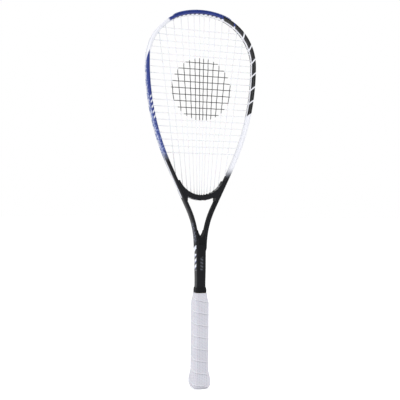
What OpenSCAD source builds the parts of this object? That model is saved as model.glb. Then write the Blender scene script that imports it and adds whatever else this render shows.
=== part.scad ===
// Squash racket: one-piece moulded head and shaft, strung in a fan pattern, with a taped handle.
// Origin at the centre of the butt's end face, +Z up the shaft, +X across the head, +Y through the strings.

/* [Head] */
// Overall length, butt to bumper
racket_l = 686; // [680:1:686]
// Outer width of the head
head_w = 211; // [207:1:213]
// Crown radius, on the tube's centreline
crown_r = 137; // [130:1:145]
// Shoulder radius, on the tube's centreline
shoulder_r = 91; // [89:1:92]
// Side radius, on the tube's centreline
side_r = 442; // [430:1:450]
// Lean of the straight legs, in degrees
leg_lean = 25.4; // [25:0.1:26]
// Throat radius, where a leg turns down into the shaft
throat_r = 164; // [155:1:172]
// Distance from the axis to a leg's centreline at the shaft
leg_x = 7.6; // [7.2:0.1:8]

/* [Tube] */
// Tube width, in the plane of the strings
tube_w = 7.2; // [7:0.1:7.6]
// Tube depth, across the plane of the strings
tube_d = 20; // [18:0.5:21]
// Laminate thickness
tube_t = 1.2; // [1:0.1:1.4]
// Width of the groove that holds the grommet strips
groove_w = 6; // [5:0.5:7]
// Depth of that groove
groove_d = 1.2; // [1:0.1:1.4]

/* [Bridge] */
// Height of the lowest point of the bowl above the butt
bowl_z = 347.6; // [347:0.1:349]
// Radius of the bowl
bowl_r = 45.4; // [45:0.1:46]
// Thickness of the bridge at the middle
bridge_h = 9.5; // [9:0.5:10]
// Depth of the bridge, across the plane of the strings
bridge_d = 17; // [15:0.5:18]

/* [Strings] */
// String diameter
string_d = 1.25; // [1.1:0.05:1.35]
// Cross strings
crosses = 20; // [18:1:20]
// Height of the top cross string
cross_top = 648.4; // [648:0.1:649]
// Distance between cross strings
cross_pitch = 11.83; // [11.6:0.01:11.9]

/* [Shaft and handle] */
// Shaft width
shaft_w = 17.4; // [17:0.1:18]
// Shaft depth
shaft_d = 20; // [19.5:0.1:20.5]
// Top of the grip
grip_top = 171; // [165:1:175]
// Grip width over the flats
grip_w = 27.5; // [27:0.1:29]
// Grip depth over the flats
grip_d = 32; // [31:0.1:33]
// Bevel of the grip's octagon
grip_bevel = 6; // [5:0.1:7]
// Thickness of the grip wrap
wrap_t = 1.8; // [1.4:0.1:2]
// Width of the butt over the wrap
butt_w = 33.4; // [33:0.1:35]
// Depth of the butt over the wrap
butt_d = 38.5; // [38:0.1:40]

/* [Hidden] */
$fn = 48;

gap = 0.05;            // clearance between two separate pieces
lap = 0.6;             // how far neighbouring stretches of one sweep run into each other
sweep_fn = 720;        // fineness of the long arcs
step = 0.012;          // size difference of neighbouring stretches, so that no two surfaces coincide
bumper_t = 1.9;        // bumper thickness over the crown
tube_e = 2.4;          // roundness exponent of the tube's section
barrel_r = 1.5;        // outer radius of a grommet barrel
barrel_bore = 0.85;    // bore radius of a grommet barrel
barrel_tip = 0.9;      // how far a barrel stands out inside the head
reach = barrel_tip + string_d/2;   // from a string's turning point to the wall it enters
hole_r = barrel_r + 0.1;
layer_y = string_d/2 + 0.03;   // offset of each string layer from the middle plane
mains = 7;             // main strings on each side of the axis

// ---- centreline of the head: crown, shoulder, side, leg and throat, each tangent to the next ----
crown_top = racket_l - bumper_t - tube_w/2;
half_w = (head_w - tube_w)/2;
crown_a = asin((half_w - shoulder_r)/(crown_r - shoulder_r));
crown_c = [0, crown_top - crown_r];
shoulder_c = crown_c + (crown_r - shoulder_r)*[sin(crown_a), cos(crown_a)];
side_c = shoulder_c - [side_r - shoulder_r, 0];
leg_top = side_c + side_r*[cos(leg_lean), -sin(leg_lean)];
leg_l = (leg_top[0] - leg_x - throat_r*(1 - cos(leg_lean)))/sin(leg_lean);
leg_way = [-sin(leg_lean), -cos(leg_lean)];
leg_out = [cos(leg_lean), -sin(leg_lean)];
leg_end = leg_top + leg_l*leg_way;
throat_c = leg_end + throat_r*leg_out;
shaft_top = throat_c[1];
strip_l = (leg_top[1] - 343)/cos(leg_lean);    // grooved part of a leg

// ---- section shapes: x across the tube with + on the outside of the head, y through the strings ----
function oval(w, d, n, e) = [for (k = [0:n - 1]) let (t = 360*(k + 0.5)/n)
  [w/2*sign(cos(t))*pow(abs(cos(t)), 2/e), d/2*sign(sin(t))*pow(abs(sin(t)), 2/e)]];
groove_a = asin(pow(groove_w/tube_d, tube_e/2));
function grooved(w, d, n, e) = let (w0 = w/2*pow(cos(groove_a), 2/e), y0 = groove_w/2) concat(
  [for (k = [0:n - 1]) let (t = groove_a + (360 - 2*groove_a)*k/(n - 1))
    [w/2*sign(cos(t))*pow(abs(cos(t)), 2/e), d/2*sign(sin(t))*pow(abs(sin(t)), 2/e)]],
  [[w0 - groove_d, -y0 + 0.3], [w0 - groove_d, y0 - 0.3]]);
function dented(w, d, n, e, x) = [for (p = oval(w, d, n, e)) [min(p[0], x), p[1]]];
function grow(points, s) = [for (p = points) p*(1 + s/10)];
function slab(x, w, t) = [[x, -w/2], [x + t, -w/2], [x + t, w/2], [x, w/2]];
function octagon(w, d, b) = [[w/2, d/2 - b], [w/2 - b, d/2], [b - w/2, d/2], [-w/2, d/2 - b],
  [-w/2, b - d/2], [b - w/2, -d/2], [w/2 - b, -d/2], [w/2, b - d/2]];

tube_n = 20;
cavity_x = tube_w/2 - groove_d - tube_t;
out_grooved = grooved(tube_w, tube_d, tube_n, tube_e);
out_plain = oval(tube_w, tube_d, tube_n, tube_e);
in_tube = dented(tube_w - 2*tube_t, tube_d - 2*tube_t, tube_n, tube_e, cavity_x);
floor_x = tube_w/2*pow(cos(groove_a), 2/tube_e) - groove_d;   // floor of the groove from the centreline

// ---- stretches of a sweep, laid flat: x across the racket, y up it, z through the strings ----
module bend(c, r, a0, a1, shape, l = lap) {
  e = l*180/(PI*r);
  translate(c) rotate_extrude(start = a0 - e, angle = a1 - a0 + 2*e, $fn = sweep_fn)
    translate([r, 0]) polygon(shape);
}
module inner_bend(c, r, a0, a1, shape, l = lap)
  bend(c, r, a0, a1, [for (k = [len(shape) - 1:-1:0]) [-shape[k][0], shape[k][1]]], l);
module leg_run(from, to, shape, l = lap)
  translate(leg_top + from*leg_way) rotate([0, 0, -leg_lean]) translate([0, l, 0]) rotate([90, 0, 0])
    linear_extrude(to - from + 2*l) polygon(shape);

// The whole head sweep: two shapes, one for the strung part and one for the legs below it.
module head_sweep(strung, plain, l = lap) {
  bend(crown_c, crown_r, 90 - crown_a, 90 + crown_a, strung, l);
  for (s = [0, 1]) mirror([s, 0, 0]) {
    bend(shoulder_c, shoulder_r, 0, 90 - crown_a, grow(strung, step), l);
    bend(side_c, side_r, -leg_lean, 0, strung, l);
    leg_run(0, strip_l, grow(strung, step), l);
    leg_run(strip_l, leg_l, plain, l);
    inner_bend(throat_c, throat_r, 180 - leg_lean, 180, grow(plain, step), l);
  }
}
// Stands a shape drawn flat upright in the racket's frame.
module upright() rotate([90, 0, 0]) children();

// ---- strings: where each one meets the inside of the head, and which way its hole runs ----
function unit(v) = v/norm(v);
function meet(c, r, p, v) = let (q = p - c, b = q*v) p + (-b + sqrt(b*b - q*q + r*r))*v;

fan_z = 487;           // height at which the fan's spacing is stated
fan_focus = 85;        // height on the axis that the inner mains point at
outer_slope = 0.13;    // lean of the outermost mains
on_bridge = mains - 2; // mains on each side that end in the bridge
inner_w = tube_w/2;
wall_l = inner_w + floor_x;             // from the inside of the tube to the floor of the groove
bowl_c = [0, bowl_z + bowl_r];
bridge_floor_r = bowl_r + bridge_h - groove_d;   // floor of the groove under the bridge

function main_x(k) = 3 + 6.6*k + 0.5*k*k;
function main_slope(k) = k < mains - 1 ? main_x(k)/(fan_z - fan_focus) : outer_slope;
function main_way(k) = unit([main_slope(k), 1]);
// A string's end is [turning point, way of its hole, length of the wall it goes through].
function arc_end(c, r, p, v) = let (a = meet(c, r - inner_w - reach, p, v)) [a, unit(a - c), wall_l];
function crown_end(p, v) = let (e = arc_end(crown_c, crown_r, p, v))
  e[0][0] < (crown_r - inner_w - reach)*sin(crown_a) ? e : arc_end(shoulder_c, shoulder_r, p, v);
function side_end(p, v) = p[1] > shoulder_c[1] ? arc_end(shoulder_c, shoulder_r, p, v)
  : arc_end(side_c, side_r, p, v);
function along_leg(p, v, x) = ((leg_top + x*leg_out - p)*leg_out)/(v*leg_out);
function leg_foot(p, v) = let (a = p + along_leg(p, v, -inner_w - reach)*v) [a, leg_out, wall_l];
function bridge_foot(p, v) = let (a = meet(bowl_c, bowl_r - reach, p, v))
  [a, v, norm(meet(bowl_c, bridge_floor_r, p, v) - a) - reach];
function corner_foot(p, v) = let (a = meet(bowl_c, bowl_r - reach, p, v), n = unit(a - bowl_c))
  [a, n, along_leg(a, n, floor_x) - reach];
function main_top(k) = crown_end([main_x(k), fan_z], main_way(k));
function main_foot(k) = let (p = [main_x(k), fan_z], v = -main_way(k))
  k < on_bridge ? bridge_foot(p, v) : k < mains - 1 ? corner_foot(p, v) : leg_foot(p, v);
function cross_end(k) = side_end([0, cross_top - cross_pitch*k], [1, 0]);

// A rod from a to b along way v, starting at point p of the flat layout.
module rod(p, v, a, b, r)
  translate([p[0] + a*v[0], p[1] + a*v[1], 0]) rotate([0, 90, atan2(v[1], v[0])])
    cylinder(r = r, h = b - a);
module hole(e) rod(e[0], e[1], reach - 3, reach + e[2] + 3, hole_r);
module barrel(e) rod(e[0], e[1], reach - barrel_tip, reach + e[2] + 0.4, barrel_r);
module barrel_hole(e) rod(e[0], e[1], -1, reach + e[2] + 4, barrel_bore);
module both() {
  children();
  mirror([1, 0, 0]) children();
}
// The layer of the mains lies behind the middle plane, that of the crosses in front of it.
module main_layer() translate([0, 0, -layer_y]) children();
module cross_layer() translate([0, 0, layer_y]) children();

// ---- head ----
bumper_mains = 4;      // mains on each side whose holes lie under the bumper

module strung_holes() both() {
  main_layer() {
    for (k = [0:mains - 1]) hole(main_top(k));
    for (k = [on_bridge:mains - 1]) hole(main_foot(k));
  }
  cross_layer() for (k = [0:crosses - 1]) hole(cross_end(k));
}

frame_bottom = 14;     // lower end of the shaft, inside the butt
shaft_corner = 3.6;
module rounded_bar(w, d, r, z0, z1) translate([0, 0, z0]) linear_extrude(z1 - z0) {
  square([w - 2*r, d], center = true);
  square([w, d - 2*r], center = true);
  for (x = [-1, 1], y = [-1, 1]) translate([x*(w/2 - r), y*(d/2 - r)]) circle(r);
}
module frame() color("#1a1b20") difference() {
  union() {
    upright() head_sweep(out_grooved, out_plain);
    rounded_bar(shaft_w, shaft_d, shaft_corner, frame_bottom, shaft_top + 3);
  }
  upright() head_sweep(in_tube, in_tube, lap + 0.5);
  for (s = [-1, 1]) translate([s*(shaft_w/4 - tube_t/4), 0, 0])
    rounded_bar(shaft_w/2 - 1.5*tube_t, shaft_d - 2*tube_t, 2.4, frame_bottom - 1, shaft_top - 1);
  upright() strung_holes();
}

// ---- bridge ----
wing_z = 374;          // top of the wings
gusset_x = 26.6;       // inner edge of the corner blocks
gusset_z = 337;        // bottom of the corner blocks
core_a = 26;           // half the angle of the bridge's hollow, seen from bowl_c
throat_strip_a = 29;   // half the angle that the strip under the bridge covers

function grow_by(points, s) = [for (p = points) [p[0]*(1 + 2*s/tube_w), p[1]*(1 + 2*s/tube_d)]];
module legs(extra) both() {
  bend(side_c, side_r, -leg_lean, 0, grow_by(out_plain, extra));
  leg_run(0, leg_l, grow_by(out_plain, extra + step));
}
module between_legs() polygon(concat(
  [for (p = [leg_top, leg_end]) p], [for (p = [leg_end, leg_top]) [-p[0], p[1]]]));
// Crescent between the bowl and the lower arc, with wings up the legs and blocks in its corners.
module crescent(inset) difference() {
  intersection() {
    between_legs();
    translate([-60, gusset_z]) square([120, wing_z - gusset_z]);
  }
  translate(bowl_c) circle(bowl_r + inset, $fn = 180);
  difference() {
    translate([-gusset_x, gusset_z - 1]) square([2*gusset_x, 60]);
    translate(bowl_c) circle(bowl_r + bridge_h - inset, $fn = 180);
  }
}
module bridge() color("#17181c") upright() difference() {
  union() {
    for (layer = [[0, bridge_d - 2.4], [0.5, bridge_d - 1], [1.2, bridge_d]])
      translate([0, 0, -layer[1]/2]) linear_extrude(layer[1]) crescent(layer[0]);
  }
  legs(gap);
  bend(bowl_c, bridge_floor_r, 270.4 - throat_strip_a, 269.6 + throat_strip_a, slab(0, groove_w, 3));
  bridge_hollow(0);
  both() main_layer() for (k = [0:on_bridge]) hole(main_foot(k));
}
module bridge_hollow(inset)
  bend(bowl_c, (bowl_r + bridge_floor_r)/2, 270 - core_a + inset, 270 + core_a - inset,
    slab(-2 + inset, 12 - 2*inset, 4 - 2*inset), 0);
module bridge_core() color("#d9cfa8") upright() difference() {
  bridge_hollow(gap);
  both() main_layer() for (k = [0:on_bridge - 1]) hole(main_foot(k));
}

// ---- throat ----
wedge_z = 284;         // top of the wedge, where its V runs out on the legs
notch_z = 270;         // bottom of the V between the legs
wedge_d = 16.4;
wedge_side = [[leg_x, shaft_top + 3.1], [leg_x + 2, wedge_z], [leg_x - 0.7, wedge_z],
  [5.6, notch_z + 9.5], [2.7, notch_z + 4], [0.4, notch_z]];
module throat_wedge() color("#17181c") upright() difference() {
  translate([0, 0, -wedge_d/2]) linear_extrude(wedge_d)
    polygon(concat(wedge_side, [for (k = [len(wedge_side) - 1:-1:0]) [-wedge_side[k][0], wedge_side[k][1]]]));
  both() inner_bend(throat_c, throat_r, 180 - leg_lean, 180, grow_by(out_plain, gap));
}
plug_l = 12;           // length of a foam plug in the shaft's open ends
module tube_plugs() color("#c9bf9a") for (s = [-1, 1]) translate([s*(shaft_w/4 - tube_t/4), 0, 0])
  rounded_bar(shaft_w/2 - 1.5*tube_t - 2*gap, shaft_d - 2*tube_t - 2*gap, 2.3,
    frame_bottom + 0.5, frame_bottom + plug_l);

// ---- grommets ----
strip_t = 0.7;         // thickness of a grommet strip
strip_w = groove_w - 0.8;
strip_shape = slab(floor_x + gap, strip_w, strip_t);
bumper_end = 13;       // degrees of each shoulder that the bumper covers
bumper_cheek = 66;     // angle round the tube's section that the bumper's cheeks reach
channel_w = 3.6;       // channel in the bumper's face that holds the string loops

function oval_at(w, d, t) = [w/2*pow(cos(t), 2/tube_e), d/2*sign(t)*pow(abs(sin(t)), 2/tube_e)];
function oval_arc(w, d, a, b, n) = [for (k = [0:n]) oval_at(w, d, a + (b - a)*k/n)];
// Half of the bumper's section: outer face, cheek's edge, inner face, and a foot in the tube's groove.
bumper_half = let (w = tube_w + 2*bumper_t, d = tube_d + 2.2) concat(
  [[floor_x + gap + strip_t, channel_w/2]],
  oval_arc(w, d, 8, bumper_cheek, 9),
  oval_arc(tube_w + 2*gap, tube_d + 2*gap, bumper_cheek, groove_a + 1, 8),
  [[floor_x + gap, strip_w/2]]);
bumper_shape = concat(bumper_half,
  [for (k = [len(bumper_half) - 1:-1:0]) [bumper_half[k][0], -bumper_half[k][1]]]);
module head_bumper() color("#2a4a94") upright() difference() {
  union() {
    bend(crown_c, crown_r, 90 - crown_a, 90 + crown_a, bumper_shape);
    both() bend(shoulder_c, shoulder_r, 90 - crown_a - bumper_end, 90 - crown_a, grow(bumper_shape, step));
    both() main_layer() for (k = [0:bumper_mains - 1]) barrel(main_top(k));
  }
  both() main_layer() for (k = [0:bumper_mains - 1]) barrel_hole(main_top(k));
}
module side_strip() upright() difference() {
  union() {
    bend(shoulder_c, shoulder_r, 0, 90 - crown_a - bumper_end - 1, strip_shape);
    bend(side_c, side_r, -leg_lean, 0, grow(strip_shape, step));
    leg_run(0, strip_l - 1, strip_shape);
    main_layer() {
      for (k = [bumper_mains:mains - 1]) barrel(main_top(k));
      for (k = [on_bridge:mains - 1]) barrel(main_foot(k));
    }
    cross_layer() for (k = [0:crosses - 1]) barrel(cross_end(k));
  }
  main_layer() {
    for (k = [bumper_mains:mains - 1]) barrel_hole(main_top(k));
    for (k = [on_bridge:mains - 1]) barrel_hole(main_foot(k));
  }
  cross_layer() for (k = [0:crosses - 1]) barrel_hole(cross_end(k));
}
module right_grommet_strip() color("#e4e5ec") side_strip();
module left_grommet_strip() color("#e4e5ec") mirror([1, 0, 0]) side_strip();
module throat_grommet_strip() color("#202126") upright() difference() {
  union() {
    bend(bowl_c, bridge_floor_r, 270 - throat_strip_a, 270 + throat_strip_a, slab(gap, strip_w, strip_t), 0);
    both() main_layer() for (k = [0:on_bridge - 1]) barrel(main_foot(k));
  }
  both() main_layer() for (k = [0:on_bridge - 1]) barrel_hole(main_foot(k));
}

// ---- strings ----
// A string path: rods from point to point, with a short upright pin where two of them meet.
module path(points) for (k = [0:len(points) - 1]) {
  if (k > 0) let (v = points[k] - points[k - 1])
    rod(points[k - 1], unit(v), 0, norm(v), string_d/2);
  translate([points[k][0], points[k][1], -turn_r]) cylinder(r = turn_r, h = 2*turn_r);
}
turn_r = string_d/2 + 0.05;
loop_h = gap + strip_t + string_d/2 + 0.1;    // height of a loop's axis above the groove's floor
function outside(e) = e[0] + (reach + e[2] + loop_h)*e[1];
function flip(p) = [-p[0], p[1]];
// One main, from its loop outside one end to its loop outside the other; then the next one back.
function main_line(k) = let (f = main_foot(k), t = main_top(k)) [outside(f), f[0], t[0], outside(t)];
function back(points) = [for (i = [len(points) - 1:-1:0]) points[i]];
half_mains = [for (k = [0:mains - 1]) each (k % 2 == 0 ? main_line(k) : back(main_line(k)))];
module main_strings() color("#f4f5f8") upright() main_layer()
  path(concat([for (p = back(half_mains)) flip(p)], half_mains));
function cross_line(k) = let (e = cross_end(k)) [flip(outside(e)), flip(e[0]), e[0], outside(e)];
module cross_strings() color("#f4f5f8") upright() cross_layer()
  path([for (k = [0:crosses - 1]) each (k % 2 == 0 ? cross_line(k) : back(cross_line(k)))]);

// ---- shaft and handle ----
decal_t = 0.15;
module shaft_side_decals() color("#e8eaf2") for (s = [-1, 1])
  translate([s*(shaft_w/2 + gap + decal_t/2), 0, 226]) cube([decal_t, 9, 30], center = true);
module shaft_front_decal() color("#8d9098") translate([0, -(shaft_d/2 + gap + decal_t/2), 224])
  cube([5, decal_t, 24], center = true);

tape_t = 0.25;         // thickness of the finishing tape
collar_z0 = grip_top + 0.3;
collar_h = 9;
// A sleeve round the shaft, s clear of it and t thick.
module shaft_sleeve(s, t, z0, z1) difference() {
  rounded_bar(shaft_w + 2*s + 2*t, shaft_d + 2*s + 2*t, shaft_corner + s + t, z0, z1);
  rounded_bar(shaft_w + 2*s, shaft_d + 2*s, shaft_corner + s, z0 - 1, z1 + 1);
}
module collar() color("#1b1c20") {
  shaft_sleeve(tape_t + 2*gap, 1.15, collar_z0, collar_z0 + 6);
  shaft_sleeve(tape_t + 2*gap, 0.8, collar_z0 + 6 - lap, collar_z0 + collar_h);
}
module finishing_tape() color("#d7d8de")
  shaft_sleeve(gap, tape_t, grip_top + 0.2, collar_z0 + collar_h - 0.5);

taper_z0 = 148;        // where the handle starts to narrow towards the shaft
taper_z1 = 166;        // where it has narrowed
flare_z0 = 17;         // top of the butt's full width
flare_z1 = 31;         // top of the butt's flare
cap_z = 6;             // where the wrap starts above the butt's end
pallet_w = grip_w - 2*wrap_t;
pallet_d = grip_d - 2*wrap_t;
taper_w = shaft_w + 1.2;
taper_d = shaft_d + 1.2;

// Solid whose width follows wide(z) and whose depth follows deep(z), with the octagon's bevels cut off.
module bar_form(wide, deep, bevel_w, bevel_d, bevel, z0, z1) intersection() {
  rotate([90, 0, 0]) translate([0, 0, -30]) linear_extrude(60) polygon(wide);
  rotate([90, 0, 90]) translate([0, 0, -30]) linear_extrude(60) polygon(deep);
  translate([0, 0, z0]) linear_extrude(z1 - z0) polygon(octagon(bevel_w, bevel_d, bevel));
}
function mirrored(side) = concat(side, [for (k = [len(side) - 1:-1:0]) [-side[k][0], side[k][1]]]);
pallet_bevel = grip_bevel - wrap_t*0.59;
function pallet_side(full, tip, s) = [[full/2 + s, 5], [full/2 + s, taper_z0], [tip/2 + s, taper_z1],
  [tip/2 + s, grip_top]];
module pallet_form(s)
  bar_form(mirrored(pallet_side(pallet_w, taper_w, s)), mirrored(pallet_side(pallet_d, taper_d, s)),
    pallet_w + 2*s, pallet_d + 2*s, pallet_bevel, 5, grip_top);
module pallet(s) intersection() {
  difference() {
    pallet_form(0);
    rounded_bar(shaft_w + 2*gap, shaft_d + 2*gap, shaft_corner + gap, frame_bottom - 1, 200);
    staple_legs(0.15);
  }
  translate([s*(30 + gap), 0, 100]) cube([60, 60, 300], center = true);
}
module left_pallet() color("#cdbb92") pallet(-1);
module right_pallet() color("#cdbb92") pallet(1);

function butt_side(full, neck, s) = let (r = 4) concat(
  [for (k = [0:6]) let (t = -90 + 15*k) [full/2 - r + r*cos(t) + s, r + r*sin(t)]],
  [[full/2 + s, flare_z0], [neck/2 + s, flare_z1]]);
module butt_form(s) bar_form(mirrored(butt_side(butt_w - 2*wrap_t, pallet_w + 1.6, s)),
  mirrored(butt_side(butt_d - 2*wrap_t, pallet_d + 1.6, s)),
  butt_w - 2*wrap_t + 2*s, butt_d - 2*wrap_t + 2*s, grip_bevel + 3, -1, flare_z1);
badge_w = 18;
module butt_cap() color("#e9eaef") difference() {
  butt_form(0);
  translate([0, 0, 4.5]) linear_extrude(40)
    polygon(octagon(pallet_w + 2*gap, pallet_d + 2*gap, pallet_bevel));
  translate([0, 0, -1]) linear_extrude(2.05) polygon(octagon(badge_w + 2*gap, badge_w + 6 + 2*gap, 5));
  staple_legs(0.1);
}
module butt_badge() color("#b9bbc4") linear_extrude(1)
  polygon(octagon(badge_w, badge_w + 6, 5));
staple_x = (pallet_w + 1.6)/2 + 1;
staple_z = 28;
module staple_legs(s) for (x = [-1, 1], y = [-3.5, 3.5]) translate([x*(staple_x - 1.55), y, staple_z])
  cube([3.1 + 2*s, 0.8 + 2*s, 0.8 + 2*s], center = true);
module butt_staples() color("#b0b2b8") {
  staple_legs(0);
  for (x = [-1, 1]) translate([x*(staple_x - 0.2), 0, staple_z]) cube([0.4, 7.8, 0.8], center = true);
}

// The wrap is drawn as a closed sleeve over the handle and the butt's flare.
function wrap_side(full, tip, butt, s) = [[butt/2 + s, cap_z], [butt/2 + s, flare_z0],
  [full/2 + s + 0.8, flare_z1], [full/2 + s, flare_z1 + 6], [full/2 + s, taper_z0],
  [tip/2 + s, taper_z1], [tip/2 + s, grip_top]];
module wrap_form(s, t) bar_form(mirrored(wrap_side(pallet_w, taper_w, butt_w - 2*wrap_t, s)),
  mirrored(wrap_side(pallet_d, taper_d, butt_d - 2*wrap_t, s)),
  butt_w - 2*wrap_t + 2*s, butt_d - 2*wrap_t + 2*s, t, cap_z - 1, grip_top + 1);
module grip_wrap() color("#dcdde6") difference() {
  intersection() {
    wrap_form(wrap_t, grip_bevel + 3);
    union() {
      translate([0, 0, flare_z1 - 1]) linear_extrude(200)
        polygon(octagon(grip_w + 2, grip_d + 2, grip_bevel + 1));
      linear_extrude(flare_z1) square(60, center = true);
    }
  }
  pallet_form(gap);
  butt_form(gap);
  rounded_bar(shaft_w + 2*gap, shaft_d + 2*gap, shaft_corner, 100, 200);
  for (x = [-1, 1]) translate([x*staple_x, 0, staple_z]) cube([1, 8.4, 1.4], center = true);
}

frame();
bridge();
bridge_core();
throat_wedge();
tube_plugs();
head_bumper();
left_grommet_strip();
right_grommet_strip();
throat_grommet_strip();
main_strings();
cross_strings();
shaft_side_decals();
shaft_front_decal();
collar();
finishing_tape();
left_pallet();
right_pallet();
grip_wrap();
butt_cap();
butt_badge();
butt_staples();
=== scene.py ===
"""Squash racket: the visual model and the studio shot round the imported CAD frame.

Shapes are worked out in millimetres and scaled to metres as they become meshes.
Shader and studio lengths are in metres.
"""
import math

import bmesh
import bpy
from mathutils import Matrix, Vector


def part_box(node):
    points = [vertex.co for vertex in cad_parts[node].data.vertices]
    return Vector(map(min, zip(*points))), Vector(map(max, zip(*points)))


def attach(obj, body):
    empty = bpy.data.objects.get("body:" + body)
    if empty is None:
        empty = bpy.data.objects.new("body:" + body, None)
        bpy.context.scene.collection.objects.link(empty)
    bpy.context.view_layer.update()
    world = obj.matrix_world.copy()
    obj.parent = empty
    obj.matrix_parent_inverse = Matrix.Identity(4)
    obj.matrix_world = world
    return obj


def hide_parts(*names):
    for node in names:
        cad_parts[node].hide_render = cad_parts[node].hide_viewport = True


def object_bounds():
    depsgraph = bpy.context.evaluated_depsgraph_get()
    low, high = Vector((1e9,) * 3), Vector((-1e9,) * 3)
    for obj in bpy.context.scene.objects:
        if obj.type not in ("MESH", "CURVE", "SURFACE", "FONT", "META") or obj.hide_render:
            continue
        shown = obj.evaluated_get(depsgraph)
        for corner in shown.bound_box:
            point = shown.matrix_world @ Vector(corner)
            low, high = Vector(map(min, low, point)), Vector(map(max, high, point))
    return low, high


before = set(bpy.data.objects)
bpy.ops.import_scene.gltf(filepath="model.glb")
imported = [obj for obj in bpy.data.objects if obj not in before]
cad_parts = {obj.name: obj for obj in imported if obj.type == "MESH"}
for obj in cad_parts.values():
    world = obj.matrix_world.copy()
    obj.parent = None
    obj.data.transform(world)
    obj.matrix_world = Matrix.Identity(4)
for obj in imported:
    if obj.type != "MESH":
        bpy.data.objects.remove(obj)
cad_low, cad_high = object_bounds()

MM = 0.001
BODY = "root"

# ---- sizes that the CAD states too, in millimetres and radians ----
CROWN_R = 137.0
SHOULDER_R = 91.0
SIDE_R = 442.0
LEG_LEAN = math.radians(25.4)
THROAT_R = 164.0
LEG_X = 7.6
TUBE_W = 7.2
TUBE_D = 20.0
TUBE_ROUND = 2.4          # exponent of the tube's oval section
GROOVE_W = 6.0
GROOVE_D = 1.2
STRIP_T = 0.7
STRIP_END_Z = 343.0
BOWL_R = 45.4
BOWL_Z = 347.6
BRIDGE_H = 9.5
SHAFT_W = 17.4
SHAFT_D = 20.0
GRIP_W = 27.5
GRIP_D = 32.0
GAP = 0.05
STRING_R = 0.625
LAYER_Y = 0.655
BARREL_TIP = 0.9
MAINS = 7                 # on each side of the axis
ON_BRIDGE = 5             # of those, how many pass straight through the bridge
FAN_Z = 487.0             # height at which the mains' spacing is stated
FAN_FOCUS = 85.0          # height on the axis that the inner mains point at
OUTER_SLOPE = 0.13
CROSSES = 20
CROSS_TOP = 648.4
CROSS_PITCH = 11.83


# ---- sizes read from the frame, in millimetres ----
def box_mm(node):
    low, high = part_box(node)
    return low / MM, high / MM


frame_low, frame_high = box_mm("frame")
bumper_high = box_mm("head_bumper")[1]
wrap_low, wrap_high = box_mm("grip_wrap")
HALF_W = frame_high.x - TUBE_W / 2
CROWN_TOP = frame_high.z - TUBE_W / 2
BUMPER_OUT = bumper_high.z - frame_high.z


# ---- small helpers ----
def smooth(f):
    """0 below 0, 1 above 1, eased between."""
    f = max(0.0, min(1.0, f))
    return f * f * (3 - 2 * f)


def hump(x, centre, width):
    return math.exp(-((x - centre) / width) ** 2)


def flip(p):
    """The mirror image of a point or a direction in the plane of the head."""
    return Vector((-p.x, p.y))


def link_mesh(name, verts, faces, smooth_angle, uv):
    """A mesh object from millimetre points; uv gives one (u, v) per face corner, in face order."""
    mesh = bpy.data.meshes.new(name)
    mesh.from_pydata([Vector(v) * MM for v in verts], [], faces)
    mesh.validate()
    layer = mesh.uv_layers.new(name="along")
    layer.data.foreach_set("uv", [c for pair in uv for c in pair])
    mesh.shade_smooth()
    mesh.set_sharp_from_angle(angle=math.radians(smooth_angle))
    obj = bpy.data.objects.new(name, mesh)
    bpy.context.scene.collection.objects.link(obj)
    return obj


def turn_outward(obj):
    bm = bmesh.new()
    bm.from_mesh(obj.data)
    bmesh.ops.recalc_face_normals(bm, faces=bm.faces)
    bm.to_mesh(obj.data)
    bm.free()


def skin(name, rings, along=None, around=None, smooth_angle=40):
    """A capped skin over equal closed rings; along has one u per ring, around one v per point plus one."""
    count = len(rings[0])
    verts = [p for ring in rings for p in ring]
    faces, uv = [], []
    along = along or list(range(len(rings)))
    around = around or [k / count for k in range(count + 1)]
    for i in range(len(rings) - 1):
        for k in range(count):
            n = (k + 1) % count
            faces.append((i * count + k, i * count + n, (i + 1) * count + n, (i + 1) * count + k))
            uv += [(along[i], around[k]), (along[i], around[k + 1]),
                   (along[i + 1], around[k + 1]), (along[i + 1], around[k])]
    last = (len(rings) - 1) * count
    faces.append(tuple(range(count - 1, -1, -1)))
    uv += [(along[0], around[k]) for k in range(count - 1, -1, -1)]
    faces.append(tuple(range(last, last + count)))
    uv += [(along[-1], around[k]) for k in range(count)]
    obj = link_mesh(name, verts, faces, smooth_angle, uv)
    turn_outward(obj)
    return obj


def coat(obj, material):
    """Puts one material in the place of whatever the object had."""
    obj.data.materials.clear()
    obj.data.materials.append(material)


def keep(obj, material, slot, *nodes):
    """Gives a piece its material and its body, and hides the CAD nodes it stands for; slot is not used."""
    coat(obj, material)
    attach(obj, BODY)
    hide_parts(*nodes)


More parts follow.
